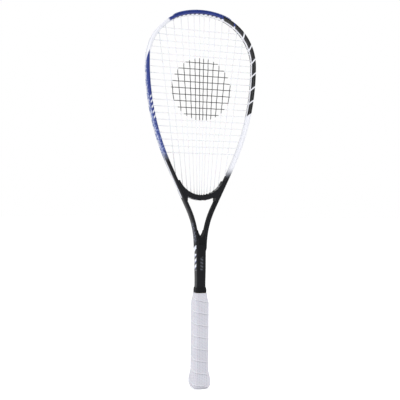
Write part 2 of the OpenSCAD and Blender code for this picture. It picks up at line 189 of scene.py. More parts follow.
# ---- node material helpers ----
class Shader:
    """A principled material whose inputs are built from expressions of sockets and numbers."""

    def __init__(self, name, roughness, **inputs):
        self.material = bpy.data.materials.new(name)
        self.material.use_nodes = True
        self.tree = self.material.node_tree
        self.bsdf = self.tree.nodes["Principled BSDF"]
        self.set("Roughness", roughness)
        for key, value in inputs.items():
            self.set(key.replace("_", " "), value)
        self.place = self.tree.nodes.new("ShaderNodeTexCoord").outputs["Object"]

    def put(self, socket, value):
        if isinstance(value, bpy.types.NodeSocket):
            self.tree.links.new(value, socket)
        elif isinstance(value, (tuple, list)) and len(value) == 3 and socket.type == "RGBA":
            socket.default_value = (*value, 1.0)
        else:
            socket.default_value = value

    def set(self, name, value):
        self.put(self.bsdf.inputs[name], value)

    def math(self, op, a, b=0.0):
        node = self.tree.nodes.new("ShaderNodeMath")
        node.operation = op
        self.put(node.inputs[0], a)
        self.put(node.inputs[1], b)
        return node.outputs[0]

    def add(self, a, b):
        return self.math("ADD", a, b)

    def sub(self, a, b):
        return self.math("SUBTRACT", a, b)

    def mul(self, a, b):
        return self.math("MULTIPLY", a, b)

    def repeat(self, x, pitch):
        """The share of its pitch that x has covered since the last repeat, 0 to 1."""
        return self.math("FRACT", self.mul(x, 1 / pitch))

    def both(self, *masks):
        result = masks[0]
        for mask in masks[1:]:
            result = self.mul(result, mask)
        return result

    def rise(self, x, low, high):
        """0 below low, 1 above high, smooth between; high below low turns it round."""
        node = self.tree.nodes.new("ShaderNodeMapRange")
        node.interpolation_type = "SMOOTHSTEP"
        falls = high < low
        self.put(node.inputs["Value"], x)
        node.inputs["From Min"].default_value = min(low, high)
        node.inputs["From Max"].default_value = max(low, high)
        node.inputs["To Min"].default_value = 1.0 if falls else 0.0
        node.inputs["To Max"].default_value = 0.0 if falls else 1.0
        return node.outputs["Result"]

    def above(self, x, edge, soft):
        """0 below the edge and 1 above it, eased over soft on each side of it."""
        return self.rise(x, edge - soft, edge + soft)

    def below(self, x, edge, soft):
        """1 below the edge and 0 above it, eased over soft on each side of it."""
        return self.rise(x, edge + soft, edge - soft)

    def band(self, x, low, high, soft):
        """1 between low and high, eased over soft on each side of both."""
        return self.both(self.above(x, low, soft), self.below(x, high, soft))

    def mix(self, fac, a, b):
        node = self.tree.nodes.new("ShaderNodeMix")
        node.data_type = "RGBA"
        self.put(node.inputs["Factor"], fac)
        self.put(node.inputs["A"], a)
        self.put(node.inputs["B"], b)
        return node.outputs["Result"]

    def noise(self, scale, detail=3.0, stretch=None):
        node = self.tree.nodes.new("ShaderNodeTexNoise")
        node.inputs["Scale"].default_value = scale
        node.inputs["Detail"].default_value = detail
        self.put(node.inputs["Vector"], self.scaled(stretch) if stretch else self.place)
        return node.outputs["Fac"]

    def cells(self, scale):
        node = self.tree.nodes.new("ShaderNodeTexVoronoi")
        node.inputs["Scale"].default_value = scale
        self.put(node.inputs["Vector"], self.place)
        return node.outputs["Distance"]

    def scaled(self, scale):
        """The place in the object, stretched along each axis."""
        node = self.tree.nodes.new("ShaderNodeVectorMath")
        node.operation = "MULTIPLY"
        self.put(node.inputs[0], self.place)
        node.inputs[1].default_value = scale
        return node.outputs[0]

    def split(self, vector):
        node = self.tree.nodes.new("ShaderNodeSeparateXYZ")
        self.put(node.inputs[0], vector)
        return node.outputs

    def uv(self):
        node = self.tree.nodes.new("ShaderNodeUVMap")
        node.uv_map = "along"
        return self.split(node.outputs[0])

    def bump(self, height, distance):
        node = self.tree.nodes.new("ShaderNodeBump")
        node.inputs["Strength"].default_value = 1.0
        node.inputs["Distance"].default_value = distance
        self.put(node.inputs["Height"], height)
        self.set("Normal", node.outputs["Normal"])

    def edge_wear(self, radius=0.0008):
        """1 near sharp edges, 0 on flats."""
        geometry = self.tree.nodes.new("ShaderNodeNewGeometry")
        bevel = self.tree.nodes.new("ShaderNodeBevel")
        bevel.inputs["Radius"].default_value = radius
        dot = self.tree.nodes.new("ShaderNodeVectorMath")
        dot.operation = "DOT_PRODUCT"
        self.put(dot.inputs[0], bevel.outputs[0])
        self.put(dot.inputs[1], geometry.outputs["Normal"])
        return self.rise(dot.outputs["Value"], 0.995, 0.9)


def srgb(r, g, b):
    """A display colour, 0 to 255, as the linear colour a shader takes."""
    return tuple(((c / 255 + 0.055) / 1.055) ** 2.4 if c > 10 else c / 255 / 12.92 for c in (r, g, b))


# ---- the head's centreline: crown, shoulder, side, leg, throat ----
crown_c = Vector((0, CROWN_TOP - CROWN_R))
crown_a = math.asin((HALF_W - SHOULDER_R) / (CROWN_R - SHOULDER_R))
shoulder_c = crown_c + (CROWN_R - SHOULDER_R) * Vector((math.sin(crown_a), math.cos(crown_a)))
side_c = shoulder_c - Vector((SIDE_R - SHOULDER_R, 0))
leg_out = Vector((math.cos(LEG_LEAN), -math.sin(LEG_LEAN)))
leg_way = Vector((-math.sin(LEG_LEAN), -math.cos(LEG_LEAN)))
leg_top = side_c + SIDE_R * leg_out
leg_len = (leg_top.x - LEG_X - THROAT_R * (1 - math.cos(LEG_LEAN))) / math.sin(LEG_LEAN)
leg_end = leg_top + leg_len * leg_way
throat_c = leg_end + THROAT_R * leg_out
bowl_c = Vector((0, BOWL_Z + BOWL_R))


def arc_points(centre, radius, a0, a1, step, inward=False):
    """(point, outward normal) along an arc, angles from +x; inward for a centre outside the head."""
    count = max(2, math.ceil(abs(a1 - a0) * radius / step))
    result = []
    for k in range(count):
        a = a0 + (a1 - a0) * k / count
        way = Vector((math.cos(a), math.sin(a)))
        result.append((centre + radius * way, -way if inward else way))
    return result


def half_line(step=2.0):
    """Right half of the centreline from the crown down to the shaft: (arc length, point, outward normal)."""
    quarter = math.pi / 2
    points = arc_points(crown_c, CROWN_R, quarter, quarter - crown_a, step)
    points += arc_points(shoulder_c, SHOULDER_R, quarter - crown_a, 0, step)
    points += arc_points(side_c, SIDE_R, 0, -LEG_LEAN, step)
    runs = math.ceil(leg_len / step)
    points += [(leg_top + leg_len * k / runs * leg_way, leg_out) for k in range(runs)]
    points += arc_points(throat_c, THROAT_R, math.pi - LEG_LEAN, math.pi, step, inward=True)
    points.append((throat_c - Vector((THROAT_R, 0)), Vector((1, 0))))
    line, length = [], 0.0
    for k, (p, n) in enumerate(points):
        if k:
            length += (p - points[k - 1][0]).length
        line.append((length, p, n))
    return line


HALF_LINE = half_line()


def length_at(z):
    """Arc length from the crown's middle to the height z, in millimetres."""
    for (s0, p0, _), (s1, p1, _) in zip(HALF_LINE, HALF_LINE[1:]):
        if p1.y <= z <= p0.y:
            return s0 + (s1 - s0) * (p0.y - z) / (p0.y - p1.y)
    return HALF_LINE[-1][0]


def length_at_x(x):
    """Arc length from the crown's middle to the distance x across the head, over the crown."""
    for (s0, p0, _), (s1, p1, _) in zip(HALF_LINE, HALF_LINE[1:]):
        if p0.x <= x <= p1.x:
            return s0 + (s1 - s0) * (x - p0.x) / (p1.x - p0.x)
    return 0.0


# ---- frame, shaft and bumper ----
def oval_point(t, width, depth):
    c, s = math.cos(t), math.sin(t)
    power = 2 / TUBE_ROUND
    return (width / 2 * math.copysign(abs(c) ** power, c), depth / 2 * math.copysign(abs(s) ** power, s))


GROOVE_A = math.asin((GROOVE_W / TUBE_D) ** (TUBE_ROUND / 2))
FLOOR_X = oval_point(GROOVE_A, TUBE_W, TUBE_D)[0] - GROOVE_D


def tube_angles():
    """Section angles from the outer face round by the back, inner and front faces, closer at the groove."""
    edge = [GROOVE_A * f for f in (0, 0.5, 0.9, 1.0, 1.1, 1.35)]
    wide = 15
    first = edge + [edge[-1] + (math.pi - edge[-1]) * k / wide for k in range(1, wide + 1)]
    return first + [2 * math.pi - a for a in reversed(first[1:-1])]


TUBE_ANGLES = tube_angles()


def tube_ring(p, n, width, depth, groove):
    """The tube's section at p, square to the centreline; groove is 1 with the string groove and 0 without."""
    just_inside = math.sin(GROOVE_A) - 0.001
    ring = []
    for t in TUBE_ANGLES:
        x, y = oval_point(t, width, depth)
        if math.cos(t) > 0 and abs(math.sin(t)) < just_inside:
            x -= (x - FLOOR_X) * groove
        ring.append((p.x + n.x * x, y, p.y + n.y * x))
    return ring


def frame_piece():
    """Head, legs and their run into the shaft as one sweep, from the left leg to the right leg."""
    right = [(s, p, n, TUBE_W, TUBE_D, 1.0 if p.y > STRIP_END_Z else 0.0) for s, p, n in HALF_LINE]
    s_end, p_end, _ = HALF_LINE[-1]
    sink, drop, steps = 2.9, 12.0, 8
    widen, thin = 0.4, 0.6
    for k in range(1, steps + 1):
        f = k / steps
        ease = smooth(f)
        p = Vector((p_end.x - sink * ease, p_end.y - drop * f))
        right.append((s_end + drop * f, p, Vector((1, 0)), TUBE_W + widen * ease, TUBE_D - thin * ease, 0.0))
    rows = [(-s, flip(p), flip(n), w, d, g) for s, p, n, w, d, g in reversed(right[1:])] + right
    rings = [tube_ring(p, n, w, d, g) for _, p, n, w, d, g in rows]
    around = [t / (2 * math.pi) for t in TUBE_ANGLES] + [1.0]
    return skin("frame_shell", rings, [row[0] * MM for row in rows], around, smooth_angle=50)


def shaft_piece():
    """The shaft's rounded bar from the butt to the legs, slightly waisted above the collar."""
    corner, overlap = 3.6, 5
    waist, waist_z, waist_length = 0.25, 192, 12
    top = HALF_LINE[-1][1].y + overlap
    rows, corner_steps = 60, 8
    rings, along = [], []
    for k in range(rows + 1):
        z = frame_low.z + (top - frame_low.z) * k / rows
        x = SHAFT_W / 2 - waist * hump(z, waist_z, waist_length) - corner
        y = SHAFT_D / 2 - corner
        ring = []
        for cx, cy, start in ((x, y, 0), (-x, y, 90), (-x, -y, 180), (x, -y, 270)):
            for j in range(corner_steps + 1):
                a = math.radians(start + 90 * j / corner_steps)
                ring.append((cx + corner * math.cos(a), cy + corner * math.sin(a), z))
        rings.append(ring)
        along.append(z * MM)
    return skin("shaft_shell", rings, along, smooth_angle=50)


def bumper_piece():
    """Blue bumper: cheeks over both faces of the tube, and a channel for the string loops in the middle."""
    end_inset = 0.8
    end = length_at_x(bumper_high.x - end_inset)
    cheek, cheek_t = math.radians(66), 1.0
    taper_length, tip_size = 9.0, 0.25
    channel_half, channel_edge, channel_depth = 2.4, 0.6, 1.5
    bury = 0.1
    outside_steps, inside_steps = 24, 12
    rows = [(s, p, n) for s, p, n in HALF_LINE if s < end]
    rows = [(-s, flip(p), flip(n)) for s, p, n in reversed(rows[1:])] + rows
    rings, along = [], []
    for s, p, n in rows:
        share = min(1.0, (end - abs(s)) / taper_length)
        size = tip_size + (1 - tip_size) * math.sqrt(1 - (1 - share) ** 2)
        section = []
        for k in range(outside_steps + 1):
            a = -cheek + 2 * cheek * k / outside_steps
            x, y = oval_point(a, TUBE_W + 2 * BUMPER_OUT * size, TUBE_D + 2 * cheek_t * size)
            if abs(y) < channel_half:
                x -= channel_depth * size * min(1.0, (channel_half - abs(y)) / channel_edge)
            section.append((x, y))
        for k in range(inside_steps + 1):
            section.append(oval_point(cheek - 2 * cheek * k / inside_steps, TUBE_W - bury, TUBE_D - bury))
        rings.append([(p.x + n.x * x, y, p.y + n.y * x) for x, y in section])
        along.append(s * MM)
    return skin("bumper_shell", rings, along, smooth_angle=45)


# ---- strings ----
INNER_W = TUBE_W / 2
REACH = BARREL_TIP + STRING_R                   # from the tube's inner face to a string's free run
WALL = INNER_W + FLOOR_X
LOOP_H = GAP + STRIP_T + STRING_R + 0.1         # height of a loop's axis above the groove's floor
FLOOR_R = BOWL_R + BRIDGE_H - GROOVE_D
STRING_LOOK_R = 0.70
TURN_R = 1.1
MAIN_END_SHARE = 0.004    # share of a main's run, at each end, that no cross may bend
CROSS_REACH = 0.99        # share of a cross's half length in which it is woven


def meet(c, r, p, v):
    """Where the line from p along v leaves the circle of radius r round c."""
    q = p - c
    b = q.dot(v)
    return p + (-b + math.sqrt(b * b - q.dot(q) + r * r)) * v


def arc_end(c, r, p, v):
    """A string's end at an arc of the tube: (end of the free run, way out, thickness passed)."""
    a = meet(c, r - INNER_W - REACH, p, v)
    return a, (a - c).normalized(), WALL


def side_end(p, v):
    return arc_end(shoulder_c, SHOULDER_R, p, v) if p.y > shoulder_c.y else arc_end(side_c, SIDE_R, p, v)


def along_leg(p, v, x):
    """How far from p along v the line lies x outside the leg's centreline."""
    return (leg_top + x * leg_out - p).dot(leg_out) / v.dot(leg_out)


def main_x(k):
    """Distance of main k from the axis at FAN_Z; the gaps widen outwards."""
    return 3 + 6.6 * k + 0.5 * k * k


def main_way(k):
    slope = main_x(k) / (FAN_Z - FAN_FOCUS) if k < MAINS - 1 else OUTER_SLOPE
    return Vector((slope, 1)).normalized()


def main_top(k):
    p, v = Vector((main_x(k), FAN_Z)), main_way(k)
    crown = arc_end(crown_c, CROWN_R, p, v)
    if crown[0].x < (CROWN_R - INNER_W - REACH) * math.sin(crown_a):
        return crown
    return arc_end(shoulder_c, SHOULDER_R, p, v)


def main_foot(k):
    p, v = Vector((main_x(k), FAN_Z)), -main_way(k)
    if k < ON_BRIDGE:
        a = meet(bowl_c, BOWL_R - REACH, p, v)
        return a, v, (meet(bowl_c, FLOOR_R, p, v) - a).length - REACH
    if k < MAINS - 1:
        a = meet(bowl_c, BOWL_R - REACH, p, v)
        n = (a - bowl_c).normalized()
        return a, n, along_leg(a, n, FLOOR_X) - REACH
    a = p + along_leg(p, v, -INNER_W - REACH) * v
    return a, leg_out, WALL


def outside(end):
    """The point at which the string turns outside the frame."""
    return end[0] + (REACH + end[2] + LOOP_H) * end[1]


CROSS_Z = [CROSS_TOP - CROSS_PITCH * k for k in range(CROSSES)]
MAIN_ENDS = [(main_foot(k), main_top(k)) for k in range(MAINS)]
CROSS_ENDS = [side_end(Vector((0, z)), Vector((1, 0))) for z in CROSS_Z]


def main_at(k, z):
    """Distance of main k from the axis at the height z."""
    v = main_way(k)
    return main_x(k) + (z - FAN_Z) * v.x / v.y


def woven(start, stop, knots, first, home, step=2.2):
    """Points from start to stop; knots are the crossings' shares of the way, passed on alternate sides."""
    count = max(2, int((stop - start).length / step))
    shares = sorted(set([k / count for k in range(count + 1)] + list(knots)))
    ends = [0.0] + list(knots) + [1.0]
    sides = [home] + [first * (-1) ** i * LAYER_Y for i in range(len(knots))] + [home]
    points = []
    for f in shares:
        i = max(j for j in range(len(ends) - 1) if ends[j] <= f + 1e-9)
        ease = smooth((f - ends[i]) / max(ends[i + 1] - ends[i], 1e-9))
        p = start + (stop - start) * f
        points.append((p.x, sides[i] * (1 - ease) + sides[i + 1] * ease, p.y))
    return points


def threaded(low, high, points, y):
    """A woven run with its two turning points outside the frame."""
    return [(low.x, y, low.y)] + points + [(high.x, y, high.y)]


def tube_rings(points, radius, sides=10):
    """Rings round a path; the ring at each turn lies in the plane that halves it."""
    rings = []
    for i, p in enumerate(points):
        way = Vector((0, 0, 0))
        if i:
            way += (p - points[i - 1]).normalized()
        if i < len(points) - 1:
            way += (points[i + 1] - p).normalized()
        way = way.normalized()
        side = way.cross(Vector((0, 1, 0))).normalized()
        up = side.cross(way).normalized()
        rings.append([p + radius * (math.cos(t) * side + math.sin(t) * up)
                      for t in (2 * math.pi * k / sides for k in range(sides))])
    return rings


def softened(points, reach):
    """Cuts each sharp corner of a path into a short curve that starts up to reach before it."""
    blunt = math.radians(168)
    most = 0.45
    pts = [Vector(p) for p in points]
    out = [pts[0]]
    for a, p, b in zip(pts, pts[1:], pts[2:]):
        before, after = (a - p), (b - p)
        if before.length > 1e-6 and after.length > 1e-6 and before.angle(after) < blunt:
            r = min(reach, before.length * most, after.length * most)
            p0, p1 = p + before.normalized() * r, p + after.normalized() * r
            out += [(1 - f) ** 2 * p0 + 2 * f * (1 - f) * p + f * f * p1 for f in (0, 0.25, 0.5, 0.75, 1)]
        else:
            out.append(p)
    return out + [pts[-1]]


def main_run(k, side):
    """Main k from foot to top, on the right (side 1) or the left (side -1)."""
    foot, top = MAIN_ENDS[k]
    passed = [(z - foot[0].y) / (top[0].y - foot[0].y) for z in reversed(CROSS_Z)]
    knots = [f for f in passed if MAIN_END_SHARE < f < 1 - MAIN_END_SHARE]
    column = MAINS + k if side > 0 else MAINS - 1 - k
    below = sum(z < foot[0].y for z in CROSS_Z)
    first = (-1) ** (column + below)
    ends = [foot[0], top[0], outside(foot), outside(top)]
    if side < 0:
        ends = [flip(p) for p in ends]
    return threaded(ends[2], ends[3], woven(ends[0], ends[1], knots, first, LAYER_Y), LAYER_Y)


def cross_run(k):
    """Cross k from left to right, on the other side of each main than the cross above it."""
    end, z = CROSS_ENDS[k], CROSS_Z[k]
    b = end[0]
    hits = []
    for m, (foot, top) in enumerate(MAIN_ENDS):
        if foot[0].y < z < top[0].y:
            hits += [(main_at(m, z), m + MAINS), (-main_at(m, z), MAINS - 1 - m)]
    hits = [(x, i) for x, i in sorted(hits) if abs(x) < b.x * CROSS_REACH]
    knots = [(x + b.x) / (2 * b.x) for x, _ in hits]
    row = CROSSES - 1 - k
    first = -(-1) ** (hits[0][1] + row)
    out = outside(end)
    return threaded(flip(out), out, woven(flip(b), b, knots, first, -LAYER_Y), -LAYER_Y)


def joined(runs):
    """Runs laid end to end as one string, each second one taken backwards."""
    return [p for k, run in enumerate(runs) for p in (run if k % 2 == 0 else run[::-1])]


def string_piece(name, path):
    return skin(name, tube_rings(softened(path, TURN_R), STRING_LOOK_R), smooth_angle=80)


def mains_piece():
    left, right = [joined([main_run(k, side) for k in range(MAINS)]) for side in (-1, 1)]
    return string_piece("strings_mains", left[::-1] + right)


def crosses_piece():
    return string_piece("strings_crosses", joined([cross_run(k) for k in range(CROSSES)]))


# ---- handle ----
WRAP_PITCH = 21.5
FLARE_TOP, FLARE_LENGTH = 34.0, 19.0
TAPER_FOOT, TAPER_LENGTH = 146.0, 22.0


def soft_octagon(half_w, half_d, bevel, count, sharpness=60):
    """An octagon's outline with rounded corners, sampled at equal angles."""
    slanted = (half_w + half_d - bevel) / math.sqrt(2)
    planes = []
    for k in range(8):
        a = math.radians(45 * k)
        planes.append((Vector((math.cos(a), math.sin(a))), (half_w, slanted, half_d, slanted)[k % 4]))
    outline = []
    for j in range(count):
        a = 2 * math.pi * j / count
        way = Vector((math.cos(a), math.sin(a)))
        total = sum((max(0.0, way.dot(n)) / reach) ** sharpness for n, reach in planes)
        outline.append(way * total ** (-1 / sharpness))
    return outline


def wrap_half(z, straight, tip, butt):
    """Half width of the wrapped handle at the height z: flared at the butt, drawn in at the tip."""
    flare = smooth((FLARE_TOP - z) / FLARE_LENGTH)
    taper = smooth((z - TAPER_FOOT) / TAPER_LENGTH)
    return straight + (butt - straight) * flare + (tip - straight) * taper


def wrap_relief(turn):
    """How far the tape stands out at a share of its turn: lap, sunk edge, ridge and slight puckers."""
    lap_height, lap_share = 0.42, 0.10
    edge_depth, edge_at, edge_share = 0.5, 0.985, 0.014
    ridge_height, ridge_at, ridge_share = 0.22, 0.02, 0.018
    pucker_height, puckers, uneven, uneven_rate = 0.05, 7.3, 0.3, 5
    phase = turn - math.floor(turn)
    lap = lap_height * smooth((lap_share - phase) / lap_share)
    edge = -edge_depth * hump(phase, edge_at, edge_share)
    ridge = ridge_height * hump(phase, ridge_at, ridge_share)
    wandering = puckers * turn + uneven * math.sin(uneven_rate * turn)
    pucker = pucker_height * math.sin(2 * math.pi * wandering)
    return lap + edge + ridge + pucker


def wrap_bevel(z):
    """Size of the handle's slanted faces: small at the tip, larger along the grip, largest at the butt."""
    tip = 1.4
    grip_adds, grip_top, grip_ease = 3.2, 158, 14
    butt_adds, butt_top, butt_ease = 0.6, 31, 12
    grip = tip + grip_adds * smooth((grip_top - z) / grip_ease)
    return grip + butt_adds * smooth((butt_top - z) / butt_ease)


def wrap_piece():
    """The overlapping spiral of grip tape, drawn in at its foot and at its cut upper end."""
    count, rows = 128, 380
    reach_below, short_above, short_out = 2.5, 0.2, 0.05
    z0, z1 = wrap_low.z - reach_below, wrap_high.z - short_above
    tip_w, tip_d = 10.9, 12.1
    butt_w, butt_d = wrap_high.x - short_out, wrap_high.y - short_out
    settle = 0.12
    tuck, tuck_length = 1.3, 3.0
    cut, cut_length = 0.8, 1.2
    rings, along = [], []
    for i in range(rows + 1):
        z = z0 + (z1 - z0) * i / rows
        half_w = wrap_half(z, GRIP_W / 2, tip_w, butt_w)
        half_d = wrap_half(z, GRIP_D / 2, tip_d, butt_d)
        outline = soft_octagon(half_w, half_d, wrap_bevel(z), count)
        ends = tuck * (1 - smooth((z - z0) / tuck_length)) + cut * (1 - smooth((z1 - z) / cut_length))
        ring = []
        for j, p in enumerate(outline):
            away = wrap_relief(z / WRAP_PITCH + j / count) - settle - ends
            q = p + p.normalized() * away
            ring.append((q.x, q.y, z))
        rings.append(ring)
        along.append(z * MM)
    return skin("grip_spiral", rings, along, smooth_angle=70)


# ---- paint of the hoop; zone edges are metres of height or of length round the hoop ----
DECAL_PITCH, DECAL_SHARE = 0.0107, 0.66
BLACK_PAINT = srgb(8, 9, 13)
DARK_PAINT = srgb(34, 36, 46)
PALE_BLUE = srgb(112, 126, 178)


class Hoop:
    """Where a shaded point is on the hoop, as sockets of one shader."""

    def __init__(self, s):
        self.along, around, _ = s.uv()
        _, self.y, self.z = s.split(s.place)
        self.run = s.math("ABSOLUTE", self.along)
        middle, soft = -0.0005, 0.0005
        self.left = s.below(self.along, middle, soft)
        self.right = s.above(self.along, middle, soft)
        # 0 on the inner face, 0.5 on the front and the back, 1 on the outer face
        self.out = s.mul(s.math("ABSOLUTE", s.sub(around, 0.5)), 2.0)

    def slanted(self, s, x, slope):
        """x shifted in proportion to the place round the tube, so that edges run across it at a slant."""
        return s.add(x, s.mul(s.sub(self.out, 0.5), slope))


def white_ground(s, at):
    """White all round, with painted shade greying the outer face of the left side."""
    grey_top, grey_from = 0.62, 0.84
    white = s.mix(s.noise(25.0, 3.0), srgb(232, 233, 240), srgb(237, 238, 244))
    # painted shade: the white paint on the left side's outer face is greyed as if in shade
    painted_shade_left = s.both(at.left, s.below(at.z, grey_top, 0.02), s.above(at.out, grey_from, 0.04))
    return s.mix(painted_shade_left, white, srgb(222, 224, 232))


def left_blue(s, at, colour, blue):
    """Blue down the left side: pointed above, mottled at the outer face and below, with pale ticks."""
    top, foot, inner_edge, outer_edge = 0.604, 0.408, 0.11, 0.945
    mottled_below, mottled_from, widens_below, widens_by = 0.48, 0.80, 0.50, 0.10
    ticks_foot, ticks_top, tick_pitch = 0.481, 0.524, 0.0092
    pointed = s.add(at.z, s.mul(s.math("ABSOLUTE", s.sub(at.out, 0.5)), 0.05))
    zone = s.both(at.left, s.below(pointed, top, 0.003), s.above(at.slanted(s, at.z, 0.012), foot, 0.002),
                  s.below(at.out, outer_edge, 0.025), s.above(at.out, inner_edge, 0.03))
    widened = s.add(at.out, s.mul(s.below(at.z, widens_below, 0.06), widens_by))
    mottle = s.above(s.noise(330.0, 3.0), 0.54, 0.04)
    inner_blue = s.mix(s.mul(mottle, s.below(at.z, mottled_below, 0.01)), blue, PALE_BLUE)
    outer_blue = s.mix(mottle, srgb(84, 102, 166), srgb(182, 189, 216))
    colour = s.mix(zone, colour, s.mix(s.above(widened, mottled_from, 0.04), inner_blue, outer_blue))
    tick = s.repeat(at.slanted(s, at.z, 0.016), tick_pitch)
    ticks = s.both(at.left, s.above(tick, 0.60, 0.04), s.band(at.z, ticks_foot, ticks_top, 0.003),
                   s.below(at.out, 0.66, 0.04), s.above(at.out, 0.23, 0.03))
    return s.mix(ticks, colour, srgb(214, 217, 228))


def crown_blue(s, at, colour, blue):
    """Blue under the bumper, all but the inner face."""
    half_length, inner_edge = 0.068, 0.215
    zone = s.both(s.below(at.run, half_length, 0.002), s.above(at.out, inner_edge, 0.025))
    return s.mix(zone, colour, blue)


def right_blocks(s, at, colour):
    """Eight plain slanted black blocks from the right shoulder down the side."""
    blocks, block_start, block_end = 8, 0.10, 0.975
    first, last = length_at_x(36.0) * MM, length_at(499) * MM
    slant = at.slanted(s, at.run, 0.012)
    cell = s.repeat(s.sub(slant, first), (last - first) / blocks)
    zone = s.both(at.right, s.band(slant, first, last, 0.0006), s.above(cell, block_start, 0.015),
                  s.below(cell, block_end, 0.01), s.band(at.out, 0.07, 0.96, 0.02))
    chips = s.above(s.noise(260.0, 2.0), 0.68, 0.02)
    return s.mix(zone, colour, s.mix(chips, BLACK_PAINT, DARK_PAINT))


def crown_dashes(s, at, colour):
    """Dark dashes on the inner edge under the bumper."""
    half_length, pitch, shift = 0.062, 0.0086, 0.0015
    dash = s.repeat(s.add(at.along, shift), pitch)
    zone = s.both(s.below(at.run, half_length, 0.002), s.band(at.out, 0.10, 0.27, 0.01),
                  s.band(dash, 0.13, 0.57, 0.03))
    return s.mix(zone, colour, BLACK_PAINT)


def slanted_bars(s, z, across, pitch, share):
    """Bars over a share of each pitch: (leaning height, share of the pitch covered, mask)."""
    lean = s.add(z, s.mul(across, 0.5))
    bar = s.repeat(lean, pitch)
    return lean, bar, s.band(bar, 0.07, share + 0.01, 0.03)


def leg_marks(s, at, colour):
    """On the left leg: a pale outer edge, faint specks and one bar that carries on the shaft decal's row."""
    edge_foot, edge_top = 0.344, 0.410
    specks_foot, specks_top, specks_strength = 0.262, 0.296, 0.35
    bar_foot, bar_top = 0.2440, 0.2550
    edge = s.both(at.left, s.above(at.out, 0.905, 0.025), s.above(at.z, edge_foot, 0.004),
                  s.below(at.z, edge_top, 0.01))
    colour = s.mix(edge, colour, srgb(206, 209, 218))
    specks = s.both(at.left, s.band(at.z, specks_foot, specks_top, 0.004), s.above(at.out, 0.69, 0.05),
                    s.above(s.noise(420.0, 2.0), 0.53, 0.03))
    colour = s.mix(s.mul(specks, specks_strength), colour, srgb(178, 186, 212))
    lean, _, bars = slanted_bars(s, at.z, at.y, DECAL_PITCH, DECAL_SHARE)
    zone = s.both(at.left, s.band(lean, bar_foot, bar_top, 0.0004), bars, s.above(at.out, 0.73, 0.03))
    return s.mix(zone, colour, srgb(222, 226, 238))


def frame_paint():
    """Lacquered paint with fine flake: white and blue above, black below, blended on an uneven line."""
    s = Shader("frame_paint", 0.3)
    at = Hoop(s)
    blue = s.mix(s.noise(60.0, 3.0), srgb(10, 32, 108), srgb(24, 52, 140))
    colour = left_blue(s, at, white_ground(s, at), blue)
    colour = crown_blue(s, at, colour, blue)
    colour = crown_dashes(s, at, right_blocks(s, at, colour))

    grey_top, black_top, left_higher, unevenness = 0.390, 0.385, 0.028, 0.006
    wobble = s.mul(s.sub(s.noise(70.0, 4.0), 0.5), unevenness)
    height = s.add(s.add(at.z, wobble), s.mul(at.left, -left_higher))
    low = s.below(height, grey_top, 0.012)
    colour = s.mix(low, colour, srgb(96, 99, 110))
    black = s.mix(s.noise(30.0, 3.0), srgb(11, 12, 16), srgb(22, 23, 29))
    colour = leg_marks(s, at, s.mix(s.below(height, black_top, 0.007), colour, black))

    flake = s.noise(1400.0, 1.0)
    glint = s.mul(s.above(flake, 0.685, 0.065), s.sub(0.10, s.mul(low, 0.08)))
    s.set("Base Color", s.mix(glint, colour, srgb(200, 205, 220)))
    s.set("Roughness", s.add(0.28, s.mul(s.noise(90.0, 4.0), 0.16)))
    s.set("Specular IOR Level", s.add(0.45, s.mul(low, -0.27)))
    s.set("Coat Weight", s.add(0.22, s.mul(low, -0.17)))
    s.set("Coat Roughness", 0.14)
    s.bump(s.add(s.mul(flake, 0.4), s.mul(s.noise(300.0, 3.0), 0.6)), 0.000025)
    return s.material


# ---- the other materials ----
def moulded(name, colour, roughness, grain=900.0, depth=0.00003, **inputs):
    """Moulded plastic: slight colour drift, fine grain, and rubbed edges."""
    vary, wear = 0.12, 0.12
    s = Shader(name, roughness, **inputs)
    dark = tuple(c * (1 - vary) for c in colour)
    light = tuple(min(1.0, c * (1 + vary) + 0.003) for c in colour)
    worn = tuple(min(1.0, c + 0.03) for c in colour)
    s.set("Base Color", s.mix(s.mul(s.edge_wear(), wear), s.mix(s.noise(40.0, 4.0), dark, light), worn))
    s.set("Roughness", s.add(roughness - 0.06, s.mul(s.noise(160.0, 3.0), 0.12)))
    s.bump(s.noise(grain, 2.0), depth)
    return s.material


def shaft_paint():
    """Black lacquer over a faint lengthwise weave."""
    s = Shader("shaft_paint", 0.34, Coat_Weight=0.06, Coat_Roughness=0.15, Specular_IOR_Level=0.2)
    weave = s.noise(700.0, 2.0, stretch=(1.0, 1.0, 0.35))
    s.set("Base Color", s.mix(s.noise(30.0, 3.0), srgb(9, 10, 14), srgb(20, 21, 27)))
    s.set("Roughness", s.add(0.26, s.mul(weave, 0.16)))
    s.bump(weave, 0.00002)
    return s.material


def bumper_plastic():
    """Scuffed blue plastic, speckled lighter towards the right end."""
    s = Shader("bumper_plastic", 0.42)
    along, speckled_from = s.uv()[0], 0.027
    base = s.mix(s.noise(80.0, 4.0), srgb(18, 42, 118), srgb(38, 66, 150))
    speckle = s.both(s.above(along, speckled_from, 0.005), s.above(s.noise(240.0, 3.0), 0.53, 0.03))
    scuff = s.above(s.noise(500.0, 5.0, stretch=(0.25, 1.0, 1.0)), 0.70, 0.04)
    colour = s.mix(s.mul(speckle, 0.8), base, srgb(150, 160, 196))
    s.set("Base Color", s.mix(s.mul(scuff, 0.35), colour, srgb(120, 132, 170)))
    s.set("Roughness", s.add(0.36, s.mul(s.noise(200.0, 3.0), 0.2)))
    s.bump(s.add(s.noise(900.0, 2.0), s.mul(scuff, -0.8)), 0.00004)
    return s.material


